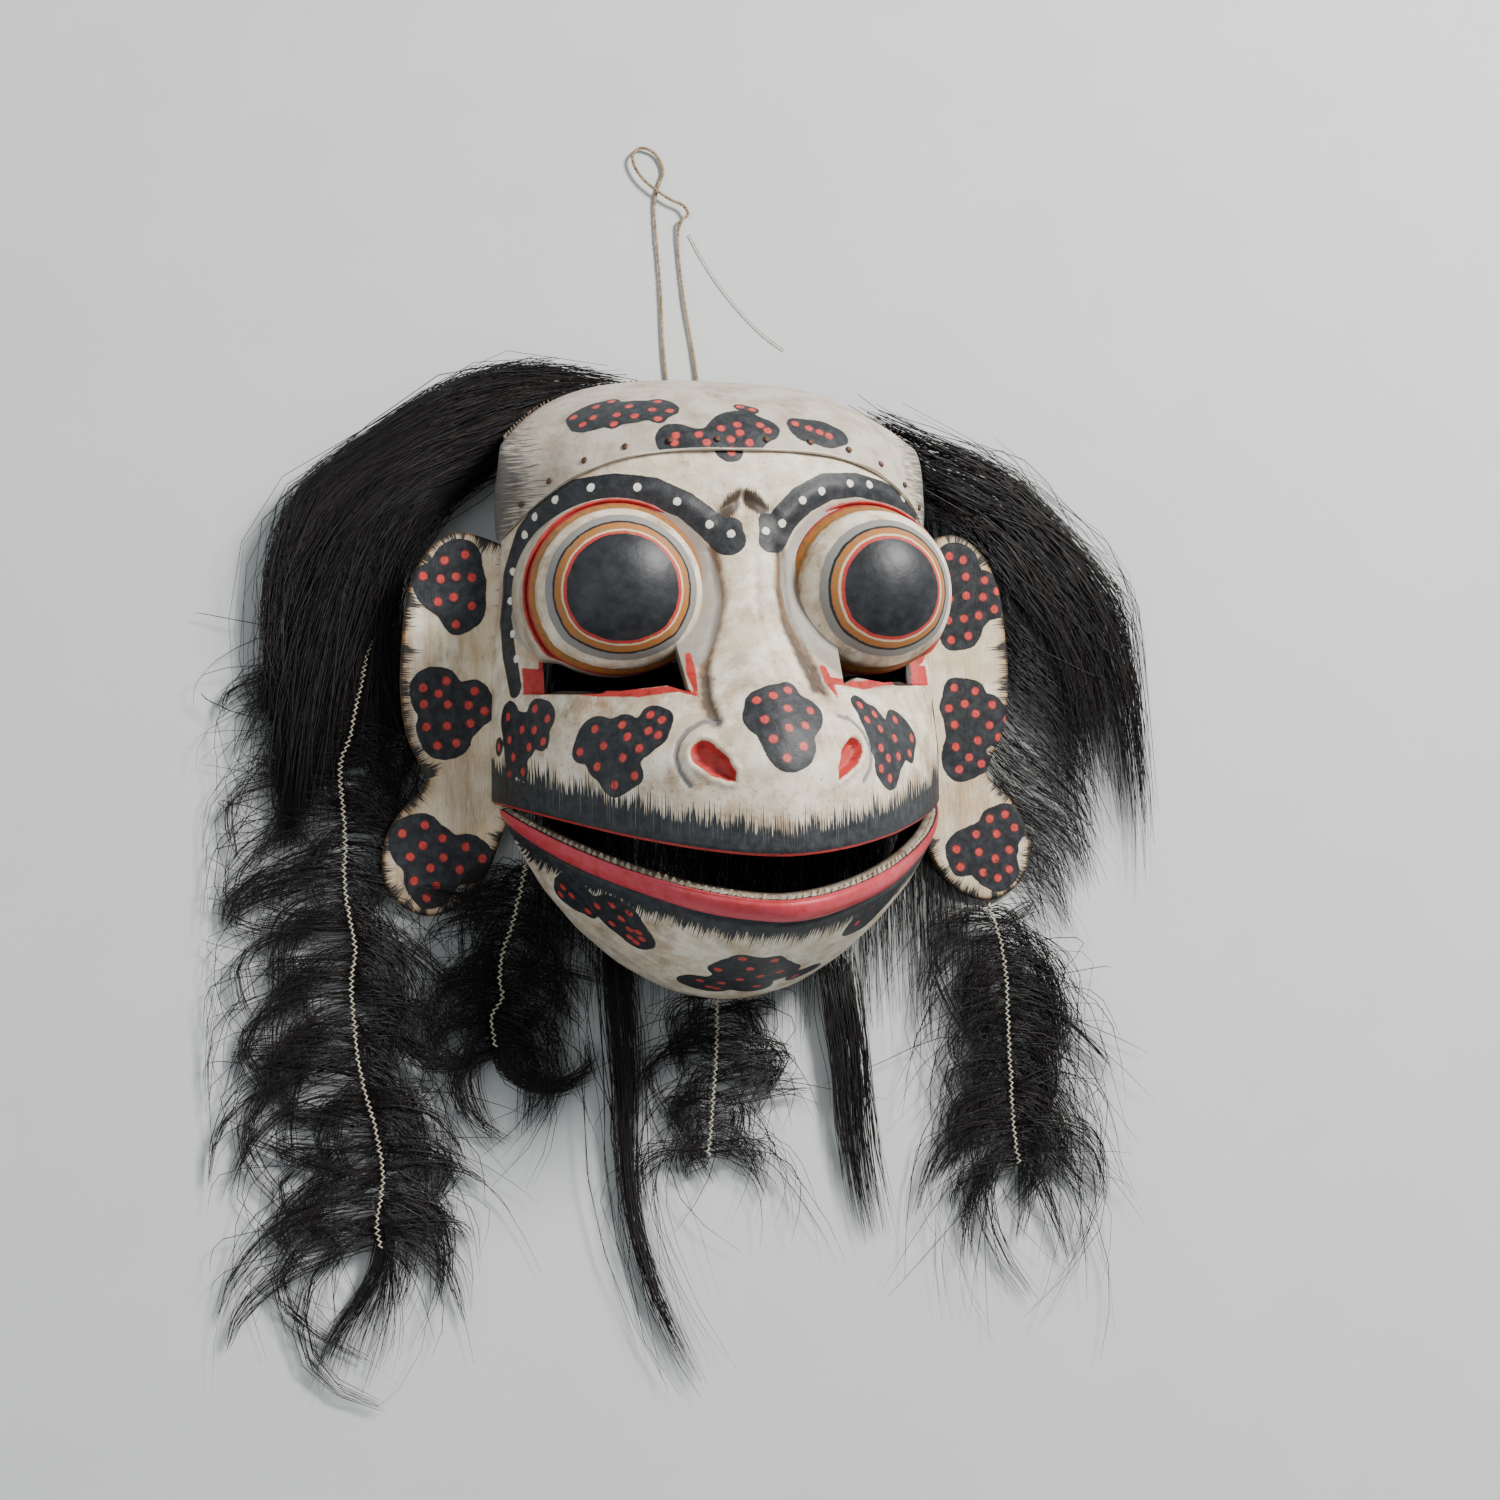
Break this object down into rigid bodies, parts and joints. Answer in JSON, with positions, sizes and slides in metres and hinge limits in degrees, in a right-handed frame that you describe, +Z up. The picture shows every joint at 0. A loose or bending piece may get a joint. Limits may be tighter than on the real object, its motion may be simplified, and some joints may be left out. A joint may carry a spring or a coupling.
{
  "type": "frog dance mask",
  "caption": "Carved and painted frog dance mask with bulging eyes, hinged lower jaw, flat wooden ears, rawhide crown, horsehair and a hanging cord.",
  "frame": {"origin": "centre of the underside, on the surface that the mask lies on", "axes": "+Z up out of the face as the mask lies on its back, +Y towards the top of the head, +X towards the ear at the viewer's right"},
  "size_m": [0.3924, 0.5259, 0.1257],
  "materials": {
    "face_paint": "satin paint over carved wood, brown antique wash",
    "jaw_paint": "satin paint over carved wood, brown antique wash",
    "painted_hide": "matt painted rawhide",
    "nail_iron": "rusty",
    "ear_paint": "painted board, stained brown at the edges",
    "twine": "dull twisted twine",
    "horsehair": "glossy black horsehair",
    "hanging_twine": "dull twisted twine",
    "pale_thread": "fine pale thread"
  },
  "bodies": {
    "mask": {"face_shell": "face_paint", "crown_hide": "painted_hide", "nail_01": "nail_iron", "nail_02": "nail_iron", "nail_03": "nail_iron", "nail_04": "nail_iron", "nail_05": "nail_iron", "nail_06": "nail_iron", "nail_07": "nail_iron", "nail_08": "nail_iron", "nail_09": "nail_iron", "nail_10": "nail_iron", "nail_11": "nail_iron", "nail_12": "nail_iron", "ear_left": "ear_paint", "ear_right": "ear_paint", "edge_cord": "twine", "hair_crown_left": "horsehair", "hair_crown_right": "horsehair", "hair_fall_left": "horsehair", "hair_fall_inner_left": "horsehair", "hair_fall_centre": "horsehair", "hair_fall_right": "horsehair", "hair_tuft_left": "horsehair", "hair_tuft_right": "horsehair", "hanging_cord": "hanging_twine", "hanging_thread": "pale_thread"},
    "jaw": {"lower_jaw": "jaw_paint"}
  },
  "joints": [
    {"name": "jaw_hinge", "type": "hinge", "parent": "mask", "child": "jaw", "pos_m": [0.00527, 0.0136, 0.02584], "axis": [1, 0, 0], "range_deg": [-8, 0]}
  ]
}
